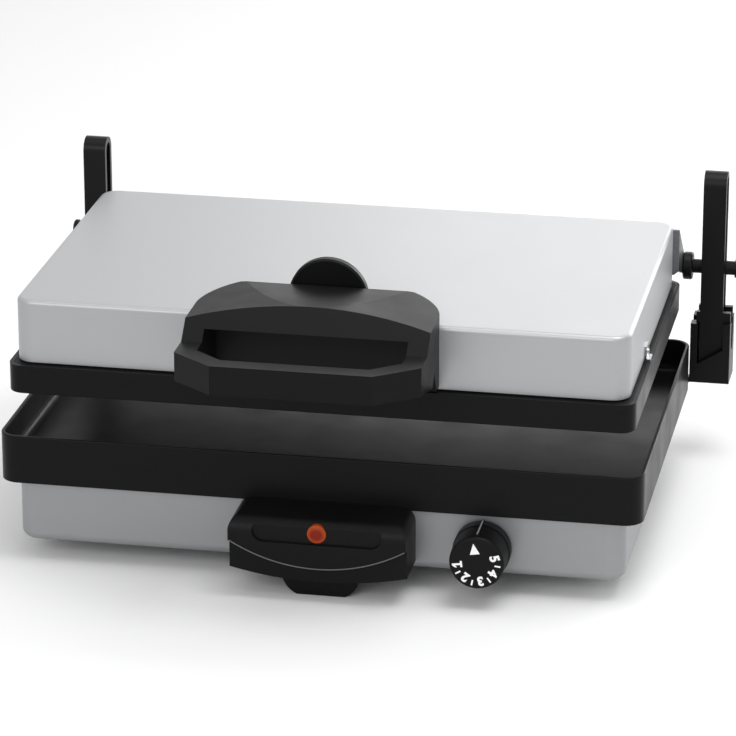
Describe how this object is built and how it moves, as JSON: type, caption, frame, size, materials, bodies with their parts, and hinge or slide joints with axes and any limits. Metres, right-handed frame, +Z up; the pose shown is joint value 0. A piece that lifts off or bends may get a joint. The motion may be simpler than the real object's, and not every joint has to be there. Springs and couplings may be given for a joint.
{
  "type": "contact grill",
  "caption": "Contact grill with a deep lower tray, a ribbed upper plate in a lifting and tilting lid on slotted arms, an arched lid handle and a temperature knob",
  "frame": {"origin": "middle of the overall box, on the table the feet stand on; the body of the grill is 5.75 mm left of it, because the right arm stands further out", "axes": "+X to the right seen from the front, +Y towards the hinge at the rear, +Z up"},
  "size_m": [0.481, 0.3774, 0.2111],
  "materials": {
    "coated_aluminium": "black non-stick coating, satin",
    "silver_paint": "silver paint, soft sheen",
    "inner_steel": "plain sheet",
    "black_plastic": "moulded, fine grain",
    "black_paint": "black paint, satin",
    "rubber": "matt",
    "gasket": "heat-proof silicone, matt",
    "bright_steel": "bright",
    "amber_lens": "clear red and amber",
    "lamp_glass": "clear",
    "pale_plastic": "moulded"
  },
  "bodies": {
    "base": {"lower_plate": "coated_aluminium", "base_shell": "silver_paint", "bottom_cover": "inner_steel", "rear_feet": "rubber", "lower_heater": "inner_steel", "lower_heater_clamps": "inner_steel", "lower_reflector": "inner_steel", "thermostat_body": "inner_steel", "lower_handle": "black_plastic", "pilot_lens": "amber_lens", "pilot_lamp": "lamp_glass", "front_foot": "black_plastic", "hinge_holder_right": "black_paint", "hinge_holder_left": "black_paint", "arm_right": "black_paint", "arm_left": "black_paint", "holder_screws": "bright_steel", "mains_gland": "black_plastic", "terminal_block": "pale_plastic", "bottom_screws": "bright_steel"},
    "temperature_knob": {"knob": "black_plastic", "thermostat_spindle": "inner_steel"},
    "bushes": {"slot_bush_right": "black_plastic", "slot_bush_left": "black_plastic"},
    "lid": {"upper_plate": "coated_aluminium", "lid_cover": "silver_paint", "lid_frame": "gasket", "upper_heater": "inner_steel", "upper_heater_clamps": "inner_steel", "upper_reflector": "inner_steel", "lid_gland": "black_plastic", "lid_handle": "black_plastic", "lid_foot": "black_plastic", "lid_bracket_right": "bright_steel", "lid_bracket_left": "bright_steel", "stud_right": "bright_steel", "stud_left": "bright_steel", "plate_clips": "bright_steel", "bracket_screws": "bright_steel"}
  },
  "joints": [
    {"name": "lid_lift", "type": "slide", "parent": "base", "child": "bushes", "axis": [0, 0, 1], "range_m": [-0.0435, 0.061]},
    {"name": "lid_hinge", "type": "hinge", "parent": "bushes", "child": "lid", "pos_m": [0, 0.17425, 0.1401], "axis": [-1, 0, 0], "range_deg": [-1, 185]},
    {"name": "knob_turn", "type": "hinge", "parent": "base", "child": "temperature_knob", "pos_m": [0.10525, -0.12, 0.0335], "axis": [0, 1, 0], "range_deg": [0, 270]}
  ]
}
